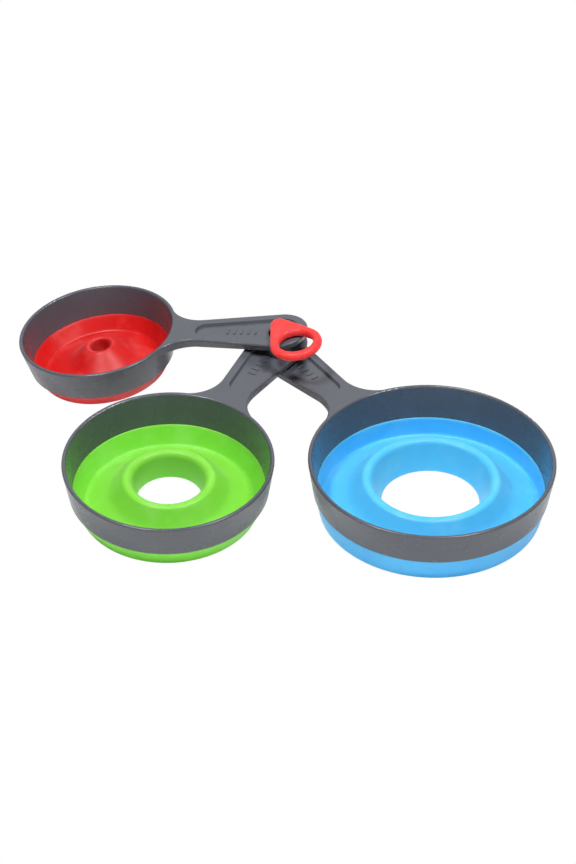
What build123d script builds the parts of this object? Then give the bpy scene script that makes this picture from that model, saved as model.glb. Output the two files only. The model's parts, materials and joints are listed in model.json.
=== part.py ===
"""Set of three collapsible silicone funnels on one hanging loop, each pressed flat.

Every funnel has a rigid rim with a strap handle, and a silicone body that is folded up inside
the rim. The handles are stacked on the loop's stem, so the upper two funnels lean a little.
Millimetres, +Z up, table at Z = 0, the middle of the set's footprint at X = Y = 0.
"""
from build123d import *
from dataclasses import dataclass
from math import atan2, asin, atan, cos, degrees, hypot, radians, sin, tan
import os


# ---------------------------------------------------------------- driving dimensions

@dataclass
class Funnel:
    """Sizes of one funnel, in its own frame: Z up its axis from the plane that it stands on."""
    name: str
    rim_radius: float       # outside of the lip
    rim_height: float       # top of the lip
    band_taper: float       # loss of radius from the lip to the foot of the rigid band
    band_foot: float        # height of the band's foot
    lap_height: float       # of the silicone inside the band, above the band's foot
    base_inset: float       # loss of radius from the band's foot to the fold on the table
    crease_inset: float     # the same to the crease inside, between skirt and cone
    crease_height: float
    crease_fillet: float
    crest_radius: float     # edge where the cone turns down into the spout
    crest_height: float
    outlet_radius: float    # bore of the spout at its lower end
    outlet_height: float
    heading: float          # direction from the stem to the funnel's axis, degrees
    handle_reach: float     # from the outside of the lip to the middle of the stem hole

    @property
    def band_radius(self):
        """Outside of the rigid band at its foot."""
        return self.rim_radius - self.band_taper

    @property
    def base_radius(self):
        """Outside of the silicone fold that stands on the table."""
        return self.band_radius - self.base_inset

    @property
    def crease_radius(self):
        """Bottom of the crease."""
        return self.band_radius - self.crease_inset


LARGE = Funnel("large", 60.0, 29.8, 2.9, 12.5, 0.4, 3.2, 4.2, 3.0, 1.6, 29.6, 19.3, 23.5, 3.6,
               -49.0, 53.6)
MEDIUM = Funnel("medium", 51.4, 27.7, 2.9, 10.4, 0.5, 5.0, 8.1, 1.7, 2.0, 19.3, 17.3, 15.7, 2.8,
                -120.2, 53.0)
SMALL = Funnel("small", 40.1, 23.3, 3.7, 7.1, 1.6, 4.6, 7.4, 1.7, 1.8, 6.3, 15.3, 4.6, 3.2,
               169.4, 54.3)
STACK = (LARGE, MEDIUM, SMALL)      # from the lowest handle to the highest

# rigid rim
RIM_WALL = 2.1              # thickness of the band
LIP_FILLET = 0.9            # rounding of the lip's two edges
BAND_LEAF = 1.0             # thickness left of the band where the silicone laps inside it
LAP_BEAD = 0.4              # the silicone's upper edge stands in from the band's inner wall
LIP_SETBACK = 0.2           # the handle's blank stays this far inside the lip's edge
OVERSHOOT = 1.0             # cuts run this far past the faces that they open

# handle
HANDLE_END_RADIUS = 14.0    # rounded end, about the stem hole
HANDLE_NARROWING = 0.12     # loss of half width per millimetre towards the cup
HANDLE_ROOT_DEPTH = 8.0     # how far the handle's narrow end is buried inside the lip circle
HANDLE_THICK_ROOT = 5.6     # where the handle leaves the lip
HANDLE_THICK_END = 3.8      # at the stem hole
HANDLE_UNDER_FILLET = 0.8
NECK_FILLET = 18.0          # flare between the handle's sides and the lip
RECESS_BORDER = 4.4         # width of the raised border around the recess
RECESS_DEPTH = 1.4
RECESS_DRAFT = 30.0         # slope of the recess's wall from upright, degrees
RECESS_LENGTH = 43.5        # from the stem hole to the recess's narrow end
STEM_HOLE_RADIUS = 6.0
SIZE_MARKS = 5              # plain raised bars in the recess
SIZE_MARK_LENGTH = 4.2
SIZE_MARK_WIDTH = 1.3
SIZE_MARK_PITCH = 3.6
SIZE_MARK_HEIGHT = 0.35
SIZE_MARK_START = 12.5      # from the stem hole to the first bar

# silicone
CONE_WALL = 1.9             # thickness of the cone near the crest
SPOUT_WALL = 1.5            # thickness of the spout at its outlet
BAND_STEP = 0.4             # the skirt stands back from the band by this much
BASE_FILLET = 1.3
BASE_LAND = 1.0             # width of the flat ring that stands on the table
CREST_FILLET = 1.4
FOLD_MARGIN = 1.0           # from a fold's rounding to the end of the flat cone beside it
BODY_GAP = 0.2              # between the cone and the spout, which move apart

# hanging loop
LOOP_REACH = 19.4           # from the stem to the middle of the ring
LOOP_HEADING = -53.0        # direction of the ring, measured in the small funnel's frame, degrees
LOOP_OUTER_RADIUS = 12.9
LOOP_HOLE_RADIUS = 8.5
LOOP_EYE_RADIUS = 4.4       # rounded end of the tab over the stem
LOOP_THICKNESS = 4.4
LOOP_OUTER_FILLET = 2.0
LOOP_HOLE_FILLET = 1.6
STEM_PLAY = 0.42            # least gap between the slanting stem and the lowest hole
KNOB_GRIP = 1.0             # the barb below the stack is wider than the holes by this much
KNOB_HEIGHT = 4.0
KNOB_FILLET = 1.8
KNOB_DROP = 5.0             # slack on the stem below the lowest handle
LOOP_LIFT = 0.3             # clearance between the loop and the top handle

HANDLE_CLEARANCE = 0.5      # least gap between stacked handles as they swing


# ---------------------------------------------------------------- the lean of each funnel

def reach(funnel):
    """Distance from the funnel's axis to its stem hole."""
    return funnel.rim_radius + funnel.handle_reach


def foot_centre(funnel):
    """Centre of the rounding that the funnel leans on, as a distance from its axis."""
    return funnel.base_radius - BASE_FILLET


def underside_slope(funnel):
    """Fall of the handle's underside below its top, per millimetre from the stem."""
    return (HANDLE_THICK_ROOT - HANDLE_THICK_END) / funnel.handle_reach


def lean_to(funnel, top):
    """Lean in radians that brings the handle's top at the stem to this height."""
    run = reach(funnel) + foot_centre(funnel)
    rise = funnel.rim_height - BASE_FILLET
    return asin((top - BASE_FILLET) / hypot(run, rise)) - atan2(rise, run)


def stack_leans():
    """Lean and height at the stem of each funnel, each handle clear of the one below."""
    leans = {}
    tops = {}
    below_top = None
    below_slope = 0.0
    for funnel in STACK:
        if below_top is None:
            lean = 0.0
            top = funnel.rim_height
        else:
            lean = 0.0
            for _ in range(12):
                underside = tan(lean) + underside_slope(funnel)
                gap = HANDLE_CLEARANCE + HANDLE_END_RADIUS * hypot(underside, below_slope)
                top = below_top + HANDLE_THICK_END / cos(lean) + gap
                lean = lean_to(funnel, top)
        leans[funnel.name] = lean
        tops[funnel.name] = top
        below_top = top
        below_slope = tan(lean)
    return leans, tops


LEANS, STEM_TOPS = stack_leans()


def seat(funnel):
    """Plane of the funnel's own frame: origin on its axis, X towards its handle."""
    lean = LEANS[funnel.name]
    heading = radians(funnel.heading)
    to_handle = Vector(-cos(heading), -sin(heading), 0)
    x_dir = to_handle * cos(lean) + Vector(0, 0, sin(lean))
    z_dir = to_handle * -sin(lean) + Vector(0, 0, cos(lean))
    stem_top = Vector(0, 0, STEM_TOPS[funnel.name])
    origin = stem_top - x_dir * reach(funnel) - z_dir * funnel.rim_height
    return Plane(origin=origin, x_dir=x_dir, z_dir=z_dir)


def level(frame, height):
    """The funnel's cross plane at this height on its axis."""
    return frame.offset(height)


def section(frame):
    """The funnel's own XZ plane, for profiles that are turned about its axis."""
    return Plane(origin=frame.origin, x_dir=frame.x_dir, z_dir=-frame.y_dir)


def own_axis(frame):
    return Axis(frame.origin, frame.z_dir)


# ---------------------------------------------------------------- outlines shared by pieces

def band_radius_at(funnel, height):
    """Outside of the conical band at this height."""
    share = (height - funnel.band_foot) / (funnel.rim_height - funnel.band_foot)
    return funnel.band_radius + (funnel.rim_radius - funnel.band_radius) * share


def lap_top(funnel):
    return funnel.band_foot + funnel.lap_height


def along(start, end, radius):
    """Point at this radius on the line between two points of a profile."""
    share = (radius - start[0]) / (end[0] - start[0])
    return (radius, start[1] + (end[1] - start[1]) * share)


def inner_corner(before, corner, after, wall_before, wall_after):
    """Where the two sides of a profile's corner meet when each is moved in by its wall."""
    first = (corner[0] - before[0], corner[1] - before[1])
    second = (after[0] - corner[0], after[1] - corner[1])
    first_length = hypot(first[0], first[1])
    second_length = hypot(second[0], second[1])
    first_normal = (-first[1] / first_length, first[0] / first_length)
    second_normal = (-second[1] / second_length, second[0] / second_length)
    det = first_normal[0] * second_normal[1] - first_normal[1] * second_normal[0]
    shift_x = (wall_before * second_normal[1] - wall_after * first_normal[1]) / det
    shift_z = (wall_after * first_normal[0] - wall_before * second_normal[0]) / det
    return (corner[0] + shift_x, corner[1] + shift_z)


def silicone_points(funnel):
    """Corners of the folded silicone's section, as (radius, height)."""
    crease = (funnel.crease_radius, funnel.crease_height)
    crest = (funnel.crest_radius, funnel.crest_height)
    outlet = (funnel.outlet_radius, funnel.outlet_height)
    under_crest = inner_corner(crease, crest, outlet, CONE_WALL, SPOUT_WALL)
    base_inside = (funnel.base_radius - BASE_FILLET - BASE_LAND, 0.0)
    outlet_outside = (funnel.outlet_radius + SPOUT_WALL, funnel.outlet_height)
    return crease, crest, outlet, under_crest, base_inside, outlet_outside


def skirt_split(funnel):
    """Radius where the moving cone starts, just inside the crease."""
    return funnel.crease_radius - funnel.crease_fillet - FOLD_MARGIN


def spout_split(funnel):
    """Radius where the cone ends and the spout's collar starts."""
    return funnel.crest_radius + CREST_FILLET + CONE_WALL + FOLD_MARGIN


# ---------------------------------------------------------------- pieces of one funnel

def handle_plan(funnel, end_radius, length):
    """Tapered strap with two rounded ends, drawn in the funnel's own XY plane."""
    far = reach(funnel)
    near_radius = (end_radius - HANDLE_NARROWING * length) / (1 - HANDLE_NARROWING)
    with BuildSketch(Plane.XY, mode=Mode.PRIVATE) as plan:
        with Locations((far, 0)):
            Circle(end_radius)
        with Locations((far - length + near_radius, 0)):
            Circle(near_radius)
        make_hull()
    return plan.sketch


def make_rim(funnel, frame):
    """Rigid band with its lip, and the strap handle flush with the lip's top."""
    top = funnel.rim_height
    far = reach(funnel)
    strap = handle_plan(funnel, HANDLE_END_RADIUS, funnel.handle_reach + HANDLE_ROOT_DEPTH)
    blank_depth = 2 * HANDLE_THICK_ROOT
    blank_radius = funnel.rim_radius - LIP_SETBACK
    slope = atan(underside_slope(funnel))
    stem = frame.origin + frame.x_dir * far + frame.z_dir * (top - HANDLE_THICK_END)
    underside_normal = frame.z_dir * cos(slope) - frame.x_dir * sin(slope)
    underside = Plane(origin=stem, x_dir=frame.y_dir, z_dir=underside_normal)
    draft = degrees(atan((funnel.rim_radius - funnel.band_radius) / (top - funnel.band_foot)))

    with BuildPart() as rim:
        # handle, with the band's own slope on its sides, and the flare where it meets the lip
        with BuildSketch(level(frame, top)) as outline:
            Circle(blank_radius)
            add(strap)
            fillet(neck_corners(outline.vertices(), blank_radius), radius=NECK_FILLET)
        extrude(amount=-blank_depth, taper=draft)
        split(bisect_by=underside, keep=Keep.TOP)
        fillet(rim.faces().sort_by(own_axis(frame))[0].edges(), radius=HANDLE_UNDER_FILLET)
        # band
        with BuildSketch(section(frame)):
            with BuildLine():
                Polyline(
                    (0, funnel.band_foot),
                    (funnel.band_radius, funnel.band_foot),
                    (funnel.rim_radius, top),
                    (0, top),
                    close=True,
                )
            make_face()
        revolve(axis=own_axis(frame))
        # the bowl's upper wall, and the wider seat for the silicone's lap
        lap = lap_top(funnel)
        below = funnel.band_foot - OVERSHOOT
        above = top + OVERSHOOT
        with BuildSketch(section(frame)):
            with BuildLine():
                Polyline(
                    (0, below),
                    (band_radius_at(funnel, below) - BAND_LEAF, below),
                    (band_radius_at(funnel, lap) - BAND_LEAF, lap),
                    (band_radius_at(funnel, lap) - RIM_WALL, lap),
                    (band_radius_at(funnel, above) - RIM_WALL, above),
                    (0, above),
                    close=True,
                )
            make_face()
        revolve(axis=own_axis(frame), mode=Mode.SUBTRACT)
        fillet(rim.faces().sort_by(own_axis(frame))[-1].edges(), radius=LIP_FILLET)
        # recess in the handle's top, with plain raised bars on its floor
        recess_plan = handle_plan(funnel, HANDLE_END_RADIUS - RECESS_BORDER, RECESS_LENGTH)
        with BuildSketch(level(frame, top)):
            add(recess_plan)
        extrude(amount=-RECESS_DEPTH, taper=RECESS_DRAFT, mode=Mode.SUBTRACT)
        mark_places = [(far - SIZE_MARK_START - k * SIZE_MARK_PITCH, 0) for k in range(SIZE_MARKS)]
        with BuildSketch(level(frame, top - RECESS_DEPTH)):
            with Locations(*mark_places):
                SlotOverall(SIZE_MARK_LENGTH, SIZE_MARK_WIDTH, rotation=90)
        extrude(amount=SIZE_MARK_HEIGHT)
        # stem hole
        with BuildSketch(level(frame, top)):
            with Locations((far, 0)):
                Circle(STEM_HOLE_RADIUS)
        extrude(amount=-2 * HANDLE_THICK_ROOT, mode=Mode.SUBTRACT)
    rim.part.label = f"{funnel.name}_rim"
    return rim.part


def neck_corners(corners, lip_radius):
    """The outline's two corners where the handle's sides cross the lip circle."""
    on_lip = corners.filter_by(lambda v: abs(hypot(v.X, v.Y) - lip_radius) < 0.01)
    return on_lip.filter_by(lambda v: v.X > 0 and abs(v.Y) > 1)


def make_skirt(funnel, frame):
    """Silicone below the band: the lap inside it, the steep skirt and the fold on the table."""
    crease, crest, _, under_crest, base_inside, _ = silicone_points(funnel)
    lap = lap_top(funnel)
    split_radius = skirt_split(funnel)
    foot = funnel.band_foot
    with BuildPart() as skirt:
        with BuildSketch(section(frame)) as profile:
            with BuildLine():
                Polyline(
                    (band_radius_at(funnel, lap) - BAND_LEAF, lap),
                    (funnel.band_radius - BAND_LEAF, foot),
                    (funnel.band_radius - BAND_STEP, foot),
                    (funnel.base_radius, 0),
                    base_inside,
                    along(base_inside, under_crest, split_radius),
                    along(crease, crest, split_radius),
                    crease,
                    (band_radius_at(funnel, lap) - RIM_WALL - LAP_BEAD, lap),
                    close=True,
                )
            make_face()
            corners = profile.vertices()
            base_corner = corner_at(corners, (funnel.base_radius, 0))
            crease_corner = corner_at(corners, crease)
            fillet(base_corner, radius=BASE_FILLET)
            fillet(crease_corner, radius=funnel.crease_fillet)
        revolve(axis=own_axis(frame))
    skirt.part.label = f"{funnel.name}_skirt"
    return skirt.part


def corner_at(corners, place):
    """The profile's corner at this radius and height."""
    return corners.sort_by_distance((place[0], place[1], 0))[0]


def make_cone(funnel, frame):
    """Silicone cone that rises from the crease to the spout's collar, and turns inside out."""
    crease, crest, _, under_crest, base_inside, _ = silicone_points(funnel)
    outside = skirt_split(funnel)
    inside = spout_split(funnel)
    with BuildPart() as cone:
        with BuildSketch(section(frame)):
            with BuildLine():
                Polyline(
                    along(base_inside, under_crest, outside),
                    along(base_inside, under_crest, inside),
                    along(crease, crest, inside),
                    along(crease, crest, outside),
                    close=True,
                )
            make_face()
        revolve(axis=own_axis(frame))
    cone.part.label = f"{funnel.name}_cone"
    return cone.part


def make_spout(funnel, frame):
    """Collar around the crest, and the tapered spout that hangs inside it."""
    crease, crest, outlet, under_crest, base_inside, outlet_outside = silicone_points(funnel)
    rim = spout_split(funnel) - BODY_GAP
    with BuildPart() as spout:
        with BuildSketch(section(frame)) as profile:
            with BuildLine():
                Polyline(
                    along(base_inside, under_crest, rim),
                    under_crest,
                    outlet_outside,
                    outlet,
                    crest,
                    along(crease, crest, rim),
                    close=True,
                )
            make_face()
            fillet(corner_at(profile.vertices(), crest), radius=CREST_FILLET)
        revolve(axis=own_axis(frame))
    spout.part.label = f"{funnel.name}_spout"
    return spout.part


# ---------------------------------------------------------------- hanging loop

def stem_radius():
    """Thickest stem that still clears the lowest hole, which it passes off centre."""
    run_down = STEM_TOPS["small"] - LARGE.rim_height + HANDLE_THICK_END
    return STEM_HOLE_RADIUS - run_down * tan(LEANS["small"]) - STEM_PLAY


def make_loop(frame):
    """Silicone ring with a tab that lies on the top handle."""
    far = reach(SMALL)
    heading = radians(LOOP_HEADING)
    eye = (far, 0)
    ring = (far + LOOP_REACH * cos(heading), LOOP_REACH * sin(heading))
    underside = SMALL.rim_height + LOOP_LIFT
    with BuildPart() as loop:
        with BuildSketch(level(frame, underside)):
            with Locations(eye):
                Circle(LOOP_EYE_RADIUS)
            with Locations(ring):
                Circle(LOOP_OUTER_RADIUS)
            make_hull()
        extrude(amount=LOOP_THICKNESS)
        fillet(loop.edges(), radius=LOOP_OUTER_FILLET)
        with BuildSketch(level(frame, underside)):
            with Locations(ring):
                Circle(LOOP_HOLE_RADIUS)
        extrude(amount=LOOP_THICKNESS, mode=Mode.SUBTRACT)
        fillet(hole_edges(loop.edges()), radius=LOOP_HOLE_FILLET)
        # start of the stem, down to the top handle
        with BuildSketch(level(frame, underside + LOOP_OUTER_FILLET)):
            with Locations(eye):
                Circle(stem_radius())
        extrude(amount=-LOOP_LIFT - LOOP_OUTER_FILLET)
    loop.part.label = "hang_loop"
    return loop.part


def make_stem(frame):
    """Thin silicone stem through the three handles, with a barb under the lowest one."""
    lowest_handle = LARGE.rim_height - HANDLE_THICK_END
    drop = (STEM_TOPS["small"] - lowest_handle) / cos(LEANS["small"]) + KNOB_DROP
    eye = (reach(SMALL), 0)
    with BuildPart() as stem:
        with BuildSketch(level(frame, SMALL.rim_height)):
            with Locations(eye):
                Circle(stem_radius())
        extrude(amount=-drop - KNOB_HEIGHT / 2)
        with BuildSketch(level(frame, SMALL.rim_height - drop)):
            with Locations(eye):
                Circle(STEM_HOLE_RADIUS + KNOB_GRIP)
        extrude(amount=-KNOB_HEIGHT)
        knob_edges = stem.edges().group_by(own_axis(frame))[0]
        fillet(knob_edges, radius=KNOB_FILLET)
    stem.part.label = "loop_stem"
    return stem.part


def hole_edges(edges):
    """The two circular edges of the loop's hole."""
    circles = edges.filter_by(GeomType.CIRCLE)
    return circles.filter_by(lambda edge: abs(edge.radius - LOOP_HOLE_RADIUS) < 0.01)


# ---------------------------------------------------------------- the set

pieces = []
for funnel in STACK:
    funnel_frame = seat(funnel)
    pieces.append(make_rim(funnel, funnel_frame))
    pieces.append(make_skirt(funnel, funnel_frame))
    pieces.append(make_cone(funnel, funnel_frame))
    pieces.append(make_spout(funnel, funnel_frame))
pieces.append(make_loop(seat(SMALL)))
pieces.append(make_stem(seat(SMALL)))

# the stem stands at X = Y = 0 up to here: move the set so that its footprint's middle does
box = Compound(children=[piece.moved(Location()) for piece in pieces]).bounding_box()
to_middle = Vector(-(box.min.X + box.max.X) / 2, -(box.min.Y + box.max.Y) / 2, 0)

os.makedirs("parts", exist_ok=True)
for piece in pieces:
    placed = piece.moved(Location(to_middle))
    placed.label = piece.label
    export_step(placed, f"parts/{piece.label}.step")

for funnel in STACK:
    lean = degrees(LEANS[funnel.name])
    print(f"{funnel.name}: leans {lean:.2f} degrees, handle top {STEM_TOPS[funnel.name]:.2f} at the stem")
print(f"stem at X {to_middle.X:.3f}, Y {to_middle.Y:.3f}; set {box.size.X:.1f} x {box.size.Y:.1f} x {box.size.Z:.1f}")
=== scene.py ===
"""Looks of a set of three collapsible silicone funnels on a hanging loop.

Everything is in metres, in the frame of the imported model: +Z up, table at Z = 0. Each funnel has
its own frame, worked out from the joints and mounts: Z up its axis, X towards its stem hole.
Sizes of the pieces are written in millimetres and multiplied by MM where they are used; the
camera, the lights and the table top are in metres.
"""
import json
from math import acos, asin, ceil, cos, hypot, radians, sin, tan

import bpy
from mathutils import Matrix, Vector


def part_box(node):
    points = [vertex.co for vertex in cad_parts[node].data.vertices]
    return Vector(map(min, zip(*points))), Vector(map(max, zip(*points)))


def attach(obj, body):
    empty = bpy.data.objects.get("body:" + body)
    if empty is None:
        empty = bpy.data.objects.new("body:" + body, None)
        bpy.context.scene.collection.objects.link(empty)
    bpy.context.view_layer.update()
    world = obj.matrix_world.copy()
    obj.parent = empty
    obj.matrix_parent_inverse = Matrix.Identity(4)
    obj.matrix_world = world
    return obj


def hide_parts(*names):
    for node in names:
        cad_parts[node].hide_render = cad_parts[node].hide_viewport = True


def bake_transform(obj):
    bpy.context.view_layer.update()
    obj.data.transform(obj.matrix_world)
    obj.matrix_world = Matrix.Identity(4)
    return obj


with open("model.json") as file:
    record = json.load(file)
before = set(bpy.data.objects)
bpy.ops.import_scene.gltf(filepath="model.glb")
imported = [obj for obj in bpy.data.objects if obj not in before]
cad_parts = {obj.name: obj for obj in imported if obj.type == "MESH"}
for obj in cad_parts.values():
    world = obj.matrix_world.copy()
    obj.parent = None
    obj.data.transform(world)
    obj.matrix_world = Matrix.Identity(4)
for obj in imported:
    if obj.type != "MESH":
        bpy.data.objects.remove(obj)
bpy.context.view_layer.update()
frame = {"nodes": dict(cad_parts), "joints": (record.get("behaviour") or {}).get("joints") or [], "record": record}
RECORD = frame["record"]
MM = 0.001


# ------------------------------------------------------------------ the funnels' own frames

JOINTS = {joint["name"]: joint for joint in frame["joints"]}
MOUNTS = {mount["name"]: mount for mount in RECORD["mounts"]}

# one funnel's sizes: heights are from the plane that the funnel stands on, and a pair is a
# radius and a height. The crease, the knee and the outlet are corners of the silicone's upper
# and inner side; the crest is the middle of its own rounding.
FUNNELS = {
    "large": {
        "rim_radius": 60.0, "rim_height": 29.8,
        "band_radius": 57.1, "band_foot": 12.5, "lap_height": 0.4,
        "base_radius": 53.9, "outlet": (23.5, 3.6),
        "crease": (52.9, 2.6), "crease_rounding": 1.6,
        "knee": (39.8, 10.2), "knee_rounding": 16.0,
        "crest": (31.4, 15.3), "crest_rounding": 3.2,
    },
    "medium": {
        "rim_radius": 51.4, "rim_height": 27.7,
        "band_radius": 48.5, "band_foot": 10.4, "lap_height": 0.5,
        "base_radius": 43.5, "outlet": (15.7, 2.8),
        "crease": (40.6, 1.4), "crease_rounding": 2.0,
        "knee": (29.2, 8.1), "knee_rounding": 14.0,
        "crest": (20.5, 13.4), "crest_rounding": 3.1,
    },
    "small": {
        "rim_radius": 40.1, "rim_height": 23.3,
        "band_radius": 36.4, "band_foot": 7.1, "lap_height": 1.6,
        "base_radius": 31.8, "outlet": (4.6, 3.2),
        "crease": (29.0, 1.4), "crease_rounding": 1.8,
        "knee": (16.5, 6.6), "knee_rounding": 12.0,
        "crest": (6.5, 13.0), "crest_rounding": 1.3,
    },
}


def stem_top(name):
    """Middle of the stem hole in the top of this funnel's handle."""
    if name == "small":
        return Vector(JOINTS["loop_swivel"]["pos_m"])
    place = Vector(JOINTS["medium_swing"]["pos_m"])
    if name == "large":
        place.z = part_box("large_rim")[1][2]
    return place


def own_frame(name):
    """Matrix from the funnel's own frame to the set's: origin at the foot of its axis."""
    up = -Vector(JOINTS[name + "_unfold"]["axis"]).normalized()
    outlet = Vector(MOUNTS[name + "_spout_mouth"]["pos_m"])
    to_stem = stem_top(name) - outlet
    handle_way = (to_stem - up * to_stem.dot(up)).normalized()
    side = up.cross(handle_way)
    origin = outlet - up * FUNNELS[name]["outlet"][1] * MM
    turn = Matrix((handle_way, side, up)).transposed().to_4x4()
    return Matrix.Translation(origin) @ turn


# ------------------------------------------------------------------ modelling by hand

RING_POINTS = 192
LONGEST_STEP = 1.6          # between rings along a straight stretch, mm
ARC_STEP = 0.35             # between rings round a rounded corner, mm
CRACK = 0.00001             # gaps up to this are closed, m


def deselect_all():
    bpy.ops.object.select_all(action="DESELECT")


def edit_mode():
    bpy.ops.object.mode_set(mode="EDIT")


def object_mode():
    bpy.ops.object.mode_set(mode="OBJECT")


def name_piece(name):
    piece = bpy.context.object
    piece.name = name
    piece.data.name = name
    return piece


def select_only(piece):
    deselect_all()
    piece.select_set(True)
    bpy.context.view_layer.objects.active = piece


def place_piece(piece, matrix):
    """Carries a piece from its own frame to the set's, and leaves its object at the origin."""
    select_only(piece)
    bpy.ops.object.transform_apply(location=True, rotation=True, scale=True)
    piece.matrix_world = matrix
    bpy.ops.object.transform_apply(location=True, rotation=True, scale=True)


def face_outwards():
    """In edit mode: closes hairline gaps, then points every face outwards."""
    bpy.ops.mesh.select_all(action="SELECT")
    bpy.ops.mesh.remove_doubles(threshold=CRACK)
    bpy.ops.mesh.normals_make_consistent(inside=False)


def apply_modifiers(piece):
    select_only(piece)
    for modifier in list(piece.modifiers):
        bpy.ops.object.modifier_apply(modifier=modifier.name)


def rounding_arc(before, corner, after, radius):
    """Points of the arc that rounds this corner, from one tangent point to the other."""
    here = Vector(corner)
    back = (Vector(before) - here).normalized()
    on = (Vector(after) - here).normalized()
    opening = acos(max(-1.0, min(1.0, back.dot(on))))
    tangent = radius / tan(opening / 2)
    centre = here + (back + on).normalized() * radius / sin(opening / 2)
    start = here + back * tangent - centre
    end = here + on * tangent - centre
    sweep = start.angle_signed(end)
    steps = max(2, ceil(abs(sweep) * radius / ARC_STEP))
    arc = []
    for step in range(steps + 1):
        arc.append(centre + Matrix.Rotation(-sweep * step / steps, 2) @ start)
    return arc


def rounded_outline(corners):
    """Closed outline through corners (radius, height, rounding), in steps short enough to bend."""
    outline = []
    count = len(corners)
    for k, (r, z, rounding) in enumerate(corners):
        before = corners[k - 1][:2]
        after = corners[(k + 1) % count][:2]
        arc = rounding_arc(before, (r, z), after, rounding) if rounding else [Vector((r, z))]
        if outline:
            outline += stretch(outline[-1], arc[0])
        outline += arc
    return outline


def stretch(start, end):
    """Points between two places, not counting the places."""
    steps = ceil((end - start).length / LONGEST_STEP)
    return [start.lerp(end, step / steps) for step in range(1, steps)]


def turned_piece(name, corners):
    """A closed wall that goes round the Z axis: one ring, extruded from corner to corner."""
    outline = rounded_outline(corners)
    radius, height = outline[0]
    deselect_all()
    bpy.ops.mesh.primitive_circle_add(vertices=RING_POINTS, radius=radius * MM, location=(0, 0, 0))
    piece = name_piece(name)
    edit_mode()
    bpy.ops.mesh.select_all(action="SELECT")
    bpy.ops.transform.translate(value=(0, 0, height * MM))
    for next_radius, next_height in outline[1:]:
        bpy.ops.mesh.extrude_region_move(
            TRANSFORM_OT_translate={"value": (0, 0, (next_height - height) * MM)})
        share = next_radius / radius
        bpy.ops.transform.resize(value=(share, share, 1), center_override=(0, 0, 0))
        radius, height = next_radius, next_height
    bpy.ops.mesh.select_all(action="DESELECT")
    bpy.ops.mesh.select_non_manifold()
    bpy.ops.mesh.bridge_edge_loops()
    face_outwards()
    object_mode()
    bpy.ops.object.shade_smooth()
    return piece


# ------------------------------------------------------------------ surface effects, shared by materials

def new_group(name, inputs, outputs):
    """An empty node group; inputs are (name, kind, start value) and outputs (name, kind)."""
    group = bpy.data.node_groups.new(name, "ShaderNodeTree")
    for label, kind, value in inputs:
        socket = group.interface.new_socket(name=label, in_out="INPUT", socket_type=kind)
        if value is not None:
            socket.default_value = value
    for label, kind in outputs:
        group.interface.new_socket(name=label, in_out="OUTPUT", socket_type=kind)
    entry = group.nodes.new("NodeGroupInput")
    exit_node = group.nodes.new("NodeGroupOutput")
    return group, entry.outputs, exit_node.inputs


def set_sockets(made, values):
    for label, value in values.items():
        made.inputs[label].default_value = value


def node(tree, kind, values=None, **settings):
    """A node with its settings and unlinked input values set."""
    made = tree.nodes.new("ShaderNode" + kind)
    for label, value in settings.items():
        setattr(made, label, value)
    set_sockets(made, values or {})
    return made


def join(tree, source, target):
    tree.links.new(source, target)


def ramp(tree, source, low, high, out_low=0.0, out_high=1.0):
    """Maps low..high of a mask to out_low..out_high, clamped."""
    made = node(tree, "MapRange", {
        "From Min": low, "From Max": high, "To Min": out_low, "To Max": out_high})
    join(tree, source, made.inputs["Value"])
    return made.outputs["Result"]


def arithmetic(tree, operation, *values):
    """A sum on masks and plain numbers, in the order that the operation takes them."""
    made = node(tree, "Math", operation=operation)
    for socket, value in zip(made.inputs, values):
        if isinstance(value, (int, float)):
            socket.default_value = value
        else:
            join(tree, value, socket)
    return made.outputs[0]


def share_of(tree, mask, share):
    return arithmetic(tree, "MULTIPLY", mask, share)


def noise(tree, place, size_mm, detail=2.0, roughness=0.5):
    """Cloudy pattern whose blobs are about this many millimetres across."""
    made = node(tree, "TexNoise", {
        "Scale": 1 / (size_mm * MM), "Detail": detail, "Roughness": roughness})
    join(tree, place, made.inputs["Vector"])
    return made.outputs["Fac"]


def make_grain():
    """Fine moulded texture: height for a bump, and a slow change of gloss."""
    group, given, out = new_group(
        "moulded_grain",
        [("Place", "NodeSocketVector", None), ("Grain", "NodeSocketFloat", 1.0),
         ("Waviness", "NodeSocketFloat", 1.0)],
        [("Height", "NodeSocketFloat"), ("Gloss change", "NodeSocketFloat")])
    fine = noise(group, given["Place"], 0.22, 3.0, 0.6)
    coarse = noise(group, given["Place"], 7.0, 1.0)
    height = arithmetic(group, "ADD", share_of(group, fine, given["Grain"]),
                        share_of(group, coarse, given["Waviness"]))
    join(group, height, out["Height"])
    clouds = noise(group, given["Place"], 13.0, 3.0)
    join(group, ramp(group, clouds, 0.3, 0.7), out["Gloss change"])
    return group


SPECK_SPACING = 3.2         # mm
MOST_SPECKS = 0.2           # share of the places that hold a speck when the amount is 1


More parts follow.
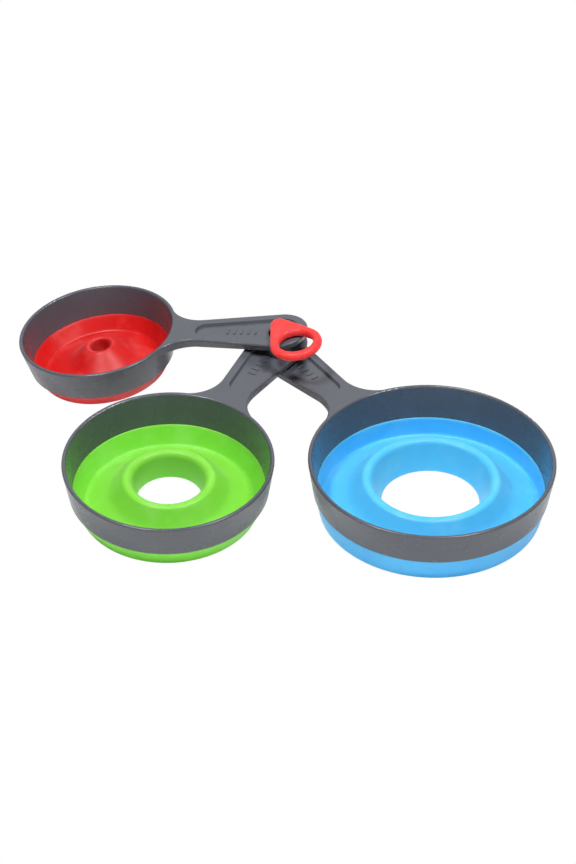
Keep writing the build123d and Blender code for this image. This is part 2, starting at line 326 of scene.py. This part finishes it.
def make_dust():
    """Sparse pale specks, under half a millimetre across, and soft smudges."""
    group, given, out = new_group(
        "dust_specks",
        [("Place", "NodeSocketVector", None), ("Amount", "NodeSocketFloat", 0.5)],
        [("Specks", "NodeSocketFloat"), ("Smudges", "NodeSocketFloat")])
    cells = node(group, "TexVoronoi", {"Scale": 1 / (SPECK_SPACING * MM), "Randomness": 1.0})
    join(group, given["Place"], cells.inputs["Vector"])
    dots = ramp(group, cells.outputs["Distance"], 0.035, 0.075, 1.0, 0.0)
    channels = node(group, "SeparateColor")
    join(group, cells.outputs["Color"], channels.inputs["Color"])
    most = share_of(group, given["Amount"], MOST_SPECKS)
    kept = arithmetic(group, "LESS_THAN", channels.outputs["Red"], most)
    join(group, share_of(group, dots, kept), out["Specks"])
    smears = noise(group, given["Place"], 18.0, 4.0, 0.55)
    join(group, ramp(group, smears, 0.52, 0.72), out["Smudges"])
    return group


HAIRLINE_TURNS = (0.5, -0.9)
HAIRLINE_STRETCH = 0.035    # scale of the pattern along a scratch; across it, 1
HAIRLINE_WIDTH = 0.5        # mm


def make_hairlines():
    """Thin rubbed scratches in two directions, broken up along their length."""
    group, given, out = new_group(
        "hairline_scratches",
        [("Place", "NodeSocketVector", None)],
        [("Scratches", "NodeSocketFloat")])
    masks = []
    for turn in HAIRLINE_TURNS:
        mapping = node(group, "Mapping", {
            "Rotation": (0.2, 0.1, turn), "Scale": (1.0, HAIRLINE_STRETCH, 1.0)})
        join(group, given["Place"], mapping.inputs["Vector"])
        lines = node(group, "TexNoise", {"Scale": 1 / (HAIRLINE_WIDTH * MM), "Detail": 1.0})
        join(group, mapping.outputs["Vector"], lines.inputs["Vector"])
        masks.append(ramp(group, lines.outputs["Fac"], 0.735, 0.77))
    together = arithmetic(group, "MAXIMUM", masks[0], masks[1])
    patches = ramp(group, noise(group, given["Place"], 14.0, 2.0), 0.45, 0.62)
    join(group, share_of(group, together, patches), out["Scratches"])
    return group


GRAIN = make_grain()
DUST = make_dust()
HAIRLINES = make_hairlines()


def place_group(tree, group, place, **values):
    made = tree.nodes.new("ShaderNodeGroup")
    made.node_tree = group
    join(tree, place, made.inputs["Place"])
    set_sockets(made, values)
    return made.outputs


MIX_MASK, MIX_FIRST, MIX_SECOND, MIX_RESULT = 0, 6, 7, 2     # a Mix node's sockets for colours


def mix_colour(tree, mask, first, second):
    """The first colour where the mask is 0, and the second where it is 1."""
    made = tree.nodes.new("ShaderNodeMix")
    made.data_type = "RGBA"
    join(tree, mask, made.inputs[MIX_MASK])
    for socket, value in ((made.inputs[MIX_FIRST], first), (made.inputs[MIX_SECOND], second)):
        if isinstance(value, tuple):
            socket.default_value = (*value, 1)
        else:
            join(tree, value, socket)
    return made.outputs[MIX_RESULT]


def bump(tree, height, strength, distance_mm, shader):
    made = node(tree, "Bump", {"Strength": strength, "Distance": distance_mm * MM})
    join(tree, height, made.inputs["Height"])
    join(tree, made.outputs["Normal"], shader.inputs["Normal"])


# ------------------------------------------------------------------ materials

SILICONE_ROUGHNESS = 0.38
PLASTIC_ROUGHNESS = 0.22
PLASTIC_DARK = (0.078, 0.084, 0.101)
PLASTIC_PALE = (0.086, 0.092, 0.111)
PLASTIC_SMUDGED = (0.12, 0.126, 0.138)
PLASTIC_RUBBED = (0.15, 0.156, 0.168)
PLASTIC_DUST = (0.30, 0.31, 0.32)

# each silicone's colour, its deeper clouds, its pale dust, and how far red, green and blue light
# spread inside it, mm
SILICONE_PIGMENTS = {
    "blue_silicone": (
        (0.085, 0.52, 0.88), (0.078, 0.49, 0.86), (0.42, 0.75, 0.94), (1.5, 3.0, 4.0)),
    "green_silicone": (
        (0.22, 0.66, 0.055), (0.20, 0.63, 0.048), (0.52, 0.84, 0.35), (3.0, 6.0, 1.0)),
    "red_silicone": (
        (0.62, 0.004, 0.005), (0.57, 0.004, 0.004), (0.97, 0.35, 0.34), (6.0, 0.8, 0.8)),
    "loop_silicone": (
        (0.98, 0.045, 0.045), (0.95, 0.040, 0.040), (0.98, 0.42, 0.40), (5.0, 0.8, 0.8)),
}


def start_material(name):
    material = bpy.data.materials.new(name)
    material.use_nodes = True
    tree = material.node_tree
    place = tree.nodes.new("ShaderNodeTexCoord").outputs["Object"]
    return material, tree, tree.nodes["Principled BSDF"], place


def make_silicone(name, colour, deep, pale, glow_mm):
    """Soft satin silicone: cloudy pigment, light that spreads inside it, dust and fine grain."""
    material, tree, shader, place = start_material(name)
    set_sockets(shader, {
        "Subsurface Weight": 0.6, "Subsurface Radius": glow_mm, "Subsurface Scale": MM,
        "IOR": 1.43, "Specular IOR Level": 0.5, "Sheen Weight": 0.12, "Sheen Roughness": 0.35})
    grain = place_group(tree, GRAIN, place, Grain=0.5, Waviness=1.6)
    dust = place_group(tree, DUST, place, Amount=0.35)
    clouds = ramp(tree, noise(tree, place, 9.0, 4.0, 0.6), 0.3, 0.7)
    pigment = mix_colour(tree, clouds, deep, colour)
    pigment = mix_colour(tree, share_of(tree, dust["Smudges"], 0.12), pigment, pale)
    pigment = mix_colour(tree, share_of(tree, dust["Specks"], 0.55), pigment, pale)
    join(tree, pigment, shader.inputs["Base Color"])
    rough = arithmetic(tree, "MULTIPLY_ADD", grain["Gloss change"], 0.10, SILICONE_ROUGHNESS)
    rough = arithmetic(tree, "ADD", rough, share_of(tree, dust["Smudges"], 0.10))
    join(tree, rough, shader.inputs["Roughness"])
    bump(tree, grain["Height"], 0.18, 0.12, shader)
    return material


def make_plastic(name):
    """Dark grey moulded plastic: fine grain, rubbed hairlines, dust and a slow change of gloss."""
    material, tree, shader, place = start_material(name)
    set_sockets(shader, {"IOR": 1.5, "Specular IOR Level": 0.5})
    grain = place_group(tree, GRAIN, place, Grain=0.7, Waviness=0.5)
    dust = place_group(tree, DUST, place, Amount=0.5)
    hairlines = place_group(tree, HAIRLINES, place)
    clouds = ramp(tree, noise(tree, place, 12.0, 5.0, 0.6), 0.3, 0.7)
    shade = mix_colour(tree, clouds, PLASTIC_DARK, PLASTIC_PALE)
    shade = mix_colour(tree, share_of(tree, dust["Smudges"], 0.10), shade, PLASTIC_SMUDGED)
    shade = mix_colour(tree, share_of(tree, hairlines["Scratches"], 0.05), shade, PLASTIC_RUBBED)
    shade = mix_colour(tree, share_of(tree, dust["Specks"], 0.35), shade, PLASTIC_DUST)
    join(tree, shade, shader.inputs["Base Color"])
    rough = arithmetic(tree, "MULTIPLY_ADD", grain["Gloss change"], 0.09, PLASTIC_ROUGHNESS)
    rough = arithmetic(tree, "ADD", rough, share_of(tree, dust["Smudges"], 0.03))
    rough = arithmetic(tree, "ADD", rough, share_of(tree, hairlines["Scratches"], 0.05))
    join(tree, rough, shader.inputs["Roughness"])
    bump(tree, grain["Height"], 0.08, 0.10, shader)
    return material


GREY_PLASTIC = make_plastic("grey_plastic")
SILICONES = {}
for label, values in SILICONE_PIGMENTS.items():
    SILICONES[label] = make_silicone(label, *values)


def give_silicone(piece, slot):
    piece.data.materials.append(SILICONES[slot])


# ------------------------------------------------------------------ the funnels

# in mm, the same on all three funnels
RIM_WALL = 2.1              # the rigid band
BAND_LEAF = 1.0             # left of the band where the silicone laps inside it
LAP_BEAD = 0.4              # the silicone's upper edge stands in from the band's inner wall
LAP_GROOVE = 0.1            # and lies this far below the band's inner edge
BAND_STEP = 0.4             # the skirt stands back from the band
CONE_WALL = 1.9
CREST_WALL = 2.3
SPOUT_WALL = 1.5
BASE_LAND = 1.0             # flat ring on the table
BASE_ROUNDING = 1.3
LEAF_GAP = 0.05             # between the band's leaf and the silicone inside it
FOOT_GAP = 0.02             # between the band's foot and the skirt's upper edge
LAP_ROUNDING = 0.45
SPOUT_INNER_ROUNDING = 0.5
SPOUT_OUTER_ROUNDING = 0.6
UNDER_CREST_ROUNDING = 0.4
UNDER_KNEE_SHARE = 0.8      # of the rounding above it
BASE_INNER_ROUNDING = 0.8
SKIRT_ROUNDING = 0.3
SLOTS = {"large": "blue_silicone", "medium": "green_silicone", "small": "red_silicone"}


def band_radius_at(size, height):
    """Outside of the conical band at this height."""
    share = (height - size["band_foot"]) / (size["rim_height"] - size["band_foot"])
    return size["band_radius"] + (size["rim_radius"] - size["band_radius"]) * share


def inner_corner(before, corner, after, wall_before, wall_after):
    """Where two sides of a section meet once each is moved in by its own wall."""
    corner = Vector(corner)
    first = (corner - Vector(before)).normalized()
    second = (Vector(after) - corner).normalized()
    first_in = Vector((-first.y, first.x))
    second_in = Vector((-second.y, second.x))
    spread = Matrix((first_in, second_in))
    return tuple(corner + spread.inverted() @ Vector((wall_before, wall_after)))


def tangent_way(start, centre, radius, side):
    """Direction of the line from this point that just touches a circle, on one side of it."""
    to_centre = Vector(centre) - Vector(start)
    return Matrix.Rotation(side * asin(radius / to_centre.length), 2) @ to_centre.normalized()


def crest_corner(before, centre, radius, after):
    """Sharp corner that, rounded off by this radius, gives an arc about this centre."""
    first = tangent_way(before, centre, radius, -1)
    second = tangent_way(after, centre, radius, 1)
    gap = Vector(after) - Vector(before)
    det = second.x * first.y - second.y * first.x
    share = (second.x * gap.y - second.y * gap.x) / det
    return tuple(Vector(before) + first * share)


def make_silicone_body(name):
    """The folded silicone: lap, skirt, fold on the table, cone, crest and the spout inside it."""
    size = FUNNELS[name]
    lap = size["band_foot"] + size["lap_height"]
    lap_top = lap - LAP_GROOVE
    crease, knee, outlet = size["crease"], size["knee"], size["outlet"]
    crest = crest_corner(knee, size["crest"], size["crest_rounding"], outlet)
    under_knee = inner_corner(crease, knee, crest, CONE_WALL, CONE_WALL)
    under_crest = inner_corner(knee, crest, outlet, CREST_WALL, SPOUT_WALL)
    base_inside = size["base_radius"] - BASE_ROUNDING - BASE_LAND
    skirt_top = size["band_foot"] - FOOT_GAP
    return turned_piece(name + "_silicone", [
        (band_radius_at(size, lap) - BAND_LEAF - LEAF_GAP, lap_top, 0),
        (band_radius_at(size, lap) - RIM_WALL - LAP_BEAD, lap_top, LAP_ROUNDING),
        (*crease, size["crease_rounding"]),
        (*knee, size["knee_rounding"]),
        (*crest, size["crest_rounding"]),
        (*outlet, SPOUT_INNER_ROUNDING),
        (outlet[0] + SPOUT_WALL, outlet[1], SPOUT_OUTER_ROUNDING),
        (*under_crest, UNDER_CREST_ROUNDING),
        (*under_knee, size["knee_rounding"] * UNDER_KNEE_SHARE),
        (base_inside, 0, BASE_INNER_ROUNDING),
        (size["base_radius"], 0, BASE_ROUNDING),
        (size["band_radius"] - BAND_STEP, skirt_top, SKIRT_ROUNDING),
        (size["band_radius"] - BAND_LEAF - LEAF_GAP, skirt_top, 0),
    ])


def let_cone_roll(piece, name):
    """Carries the silicone from its funnel's own frame to the set's, and bakes the placing into its mesh."""
    matrix = own_frame(name)
    place_piece(piece, matrix)
    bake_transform(piece)


for name in FUNNELS:
    silicone = make_silicone_body(name)
    let_cone_roll(silicone, name)
    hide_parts(name + "_skirt", name + "_cone", name + "_spout")
    give_silicone(silicone, SLOTS[name])
    rim = frame["nodes"][name + "_rim"]
    rim.data.materials.clear()
    rim.data.materials.append(GREY_PLASTIC)


# ------------------------------------------------------------------ the hanging loop

LOOP_REACH = 19.4           # from the stem to the middle of the ring, mm
LOOP_HEADING = radians(-53)
LOOP_RADIUS = 12.9
LOOP_HOLE_RADIUS = 8.5
LOOP_EYE_RADIUS = 4.4
LOOP_THICKNESS = 4.4
LOOP_ROUNDING = 2.0
LOOP_ROUNDING_STEPS = 8
LOOP_HOLE_ROUNDING = 1.7
LOOP_HOLE_ROUNDING_STEPS = 7
DISC_POINTS = 96
LOOP_HOLE_POINTS = 128
LOOP_CELL = 0.3             # cells that the loop is remeshed on
LOOP_SMOOTHINGS = 6
LOOP_LIFT = 0.3             # above the top handle
STEM_RADIUS = 3.0
STEM_IN_TAB = 1.0           # the stem runs this far up into the tab
STEM_TOP_ROUNDING = 0.3
STEM_FOOT_ROUNDING = 0.8    # where the stem meets the barb
STEM_CORE = 0.05            # the turned wall starts and ends this close to the axis
KNOB_RADIUS = 7.0
KNOB_HEIGHT = 4.0
KNOB_ROUNDING = 0.9
KNOB_TIP_SHARE = 0.75       # of the barb's radius, at its foot
KNOB_TIP_ROUNDING = 1.8
KNOB_LIFT = 0.3             # the barb's foot over the lowest point of its node
NEAR = 0.05                 # how near a point lies to the edge that it belongs to
LEVEL = 0.01                # how much a level edge's ends may differ in height


def disc(radius, x, y, thickness, vertices=DISC_POINTS):
    deselect_all()
    bpy.ops.mesh.primitive_cylinder_add(
        vertices=vertices, radius=radius * MM, depth=thickness * MM, location=(x * MM, y * MM, 0))
    return bpy.context.object


def select_level_edges(piece, keep):
    """Opens edit mode with the level edges selected whose two ends pass keep(place in mm)."""
    edit_mode()
    bpy.ops.mesh.select_all(action="DESELECT")
    bpy.ops.mesh.select_mode(type="EDGE")
    object_mode()
    points = [vertex.co / MM for vertex in piece.data.vertices]
    for edge in piece.data.edges:
        first, second = (points[k] for k in edge.vertices)
        edge.select = abs(first.z - second.z) < LEVEL and keep(first) and keep(second)
    edit_mode()


def make_loop():
    """Ring with a tab over the stem: two rounded discs drawn together, with a rounded hole."""
    x, y = LOOP_REACH * cos(LOOP_HEADING), LOOP_REACH * sin(LOOP_HEADING)
    half = LOOP_THICKNESS / 2
    eye = disc(LOOP_EYE_RADIUS, 0, 0, LOOP_THICKNESS)
    loop = disc(LOOP_RADIUS, x, y, LOOP_THICKNESS)
    eye.select_set(True)
    bpy.ops.object.join()
    loop = name_piece("loop_ring")
    select_only(loop)
    bpy.ops.object.transform_apply(location=True, rotation=True, scale=True)
    select_level_edges(loop, lambda p: abs(abs(p.z) - half) < NEAR)
    bpy.ops.mesh.bevel(offset=LOOP_ROUNDING * MM, segments=LOOP_ROUNDING_STEPS, affect="EDGES")
    bpy.ops.mesh.select_all(action="SELECT")
    bpy.ops.mesh.convex_hull()
    object_mode()
    cutter = disc(LOOP_HOLE_RADIUS, x, y, 2 * LOOP_THICKNESS, LOOP_HOLE_POINTS)
    bpy.context.view_layer.objects.active = loop
    hole = loop.modifiers.new("hole", "BOOLEAN")
    hole.operation = "DIFFERENCE"
    hole.object = cutter
    apply_modifiers(loop)
    bpy.data.objects.remove(cutter)
    middle = Vector((x, y))
    select_level_edges(loop, lambda p: abs((p.xy - middle).length - LOOP_HOLE_RADIUS) < NEAR
                       and abs(abs(p.z) - half) < NEAR)
    bpy.ops.mesh.bevel(
        offset=LOOP_HOLE_ROUNDING * MM, segments=LOOP_HOLE_ROUNDING_STEPS, affect="EDGES")
    object_mode()
    bpy.ops.object.shade_smooth()
    soften = loop.modifiers.new("soften", "REMESH")
    soften.mode = "VOXEL"
    soften.voxel_size = LOOP_CELL * MM
    soften.use_smooth_shade = True
    smooth = loop.modifiers.new("smooth", "SMOOTH")
    smooth.iterations = LOOP_SMOOTHINGS
    apply_modifiers(loop)
    return loop


def make_stem(up_z):
    """Stem and barb, turned in one piece; up_z is the height gained by each mm along the stem."""
    drop = (stem_top("small").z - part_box("loop_stem")[0].z) / MM
    depth = drop / up_z - KNOB_LIFT
    return turned_piece("loop_stem_silicone", [
        (STEM_CORE, LOOP_LIFT + STEM_IN_TAB, 0),
        (STEM_RADIUS, LOOP_LIFT + STEM_IN_TAB, STEM_TOP_ROUNDING),
        (STEM_RADIUS, -depth + KNOB_HEIGHT, STEM_FOOT_ROUNDING),
        (KNOB_RADIUS, -depth + KNOB_HEIGHT, KNOB_ROUNDING),
        (KNOB_RADIUS * KNOB_TIP_SHARE, -depth, KNOB_TIP_ROUNDING),
        (STEM_CORE, -depth, 0),
    ])


top_funnel = own_frame("small")
at_stem = top_funnel @ Matrix.Translation(top_funnel.inverted() @ stem_top("small"))

loop = make_loop()
place_piece(loop, at_stem @ Matrix.Translation((0, 0, (LOOP_LIFT + LOOP_THICKNESS / 2) * MM)))
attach(loop, "loop")
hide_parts("hang_loop")
give_silicone(loop, "loop_silicone")

stem = make_stem(top_funnel.col[2].z)
place_piece(stem, at_stem)
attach(stem, "loop")
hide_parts("loop_stem")
give_silicone(stem, "loop_silicone")


# ------------------------------------------------------------------ camera, light and table

STEM = stem_top("medium")
CAMERA_FROM_STEM = Vector((0.00494, -1.59763, 0.0))
CAMERA_HEIGHT = 1.21455
CAMERA_DIP = 37.732         # degrees below level
CAMERA_PITCH = radians(90 - CAMERA_DIP)
CAMERA_ROLL = radians(1.047)
CAMERA_LENS = 166.48
CAMERA_SENSOR = 36.0
FAR_CLIP = 20.0

# each light's place (x, y, z), width and depth in metres, and power in watts
SOFTBOXES = {
    "softbox_left": (-0.40, -0.16, 1.15, 0.22, 0.22, 10),
    "softbox_right": (0.40, -0.16, 1.15, 0.22, 0.22, 10),
    "backdrop": (0, 1.3, 1.0, 2.4, 1.0, 7),
    "low_card": (0, -1.2, 0.14, 1.8, 0.24, 3.2),
}
WORLD_LIGHT = 0.05
FLOOR_SIZE = 3
FLOOR_DROP = 0.0002         # below Z = 0, clear of the set's feet
FLOOR_GLOW = 0.12
FLOOR_TONES = (0.84, 0.86)


def make_camera():
    data = bpy.data.cameras.new("camera")
    data.lens = CAMERA_LENS
    data.sensor_width = CAMERA_SENSOR
    data.clip_end = FAR_CLIP
    camera = bpy.data.objects.new("camera", data)
    bpy.context.scene.collection.objects.link(camera)
    place = Vector((STEM.x, STEM.y, 0)) + CAMERA_FROM_STEM
    place.z = CAMERA_HEIGHT
    turn = Matrix.Rotation(CAMERA_PITCH, 4, "X") @ Matrix.Rotation(CAMERA_ROLL, 4, "Z")
    camera.matrix_world = Matrix.Translation(place) @ turn
    bpy.context.scene.camera = camera


def make_softbox(name, x, y, z, width, depth, power):
    """Flat light that faces the middle of the set."""
    data = bpy.data.lights.new(name, "AREA")
    data.shape = "RECTANGLE"
    data.size = width
    data.size_y = depth
    data.energy = power
    light = bpy.data.objects.new(name, data)
    bpy.context.scene.collection.objects.link(light)
    light.location = (x, y, z)
    light.rotation_euler = (-light.location).to_track_quat("-Z", "Y").to_euler()


def make_world():
    """White room: pure white behind the set, and very dim as a source of light."""
    world = bpy.data.worlds.new("studio")
    bpy.context.scene.world = world
    world.use_nodes = True
    tree = world.node_tree
    back = tree.nodes["Background"]
    back.inputs["Color"].default_value = (1, 1, 1, 1)
    seen = tree.nodes.new("ShaderNodeLightPath").outputs["Is Camera Ray"]
    join(tree, ramp(tree, seen, 0, 1, WORLD_LIGHT, 1.0), back.inputs["Strength"])


def make_floor():
    """Pale matt table top: it lights the set from below, and neither shows nor casts a shadow."""
    deselect_all()
    bpy.ops.mesh.primitive_plane_add(size=FLOOR_SIZE, location=(0, 0, -FLOOR_DROP))
    floor = name_piece("table_top")
    material, tree, shader, place = start_material("table_top")
    set_sockets(shader, {"Roughness": 0.9, "Emission Strength": FLOOR_GLOW})
    tone = ramp(tree, noise(tree, place, 60.0, 3.0), 0.3, 0.7, *FLOOR_TONES)
    shade = tree.nodes.new("ShaderNodeCombineColor")
    for channel in ("Red", "Green", "Blue"):
        join(tree, tone, shade.inputs[channel])
    join(tree, shade.outputs["Color"], shader.inputs["Base Color"])
    floor.data.materials.append(material)
    floor.visible_camera = False
    floor.visible_shadow = False


make_camera()
make_world()
make_floor()
for name, values in SOFTBOXES.items():
    make_softbox(name, *values)
bpy.context.scene.view_settings.view_transform = "Standard"
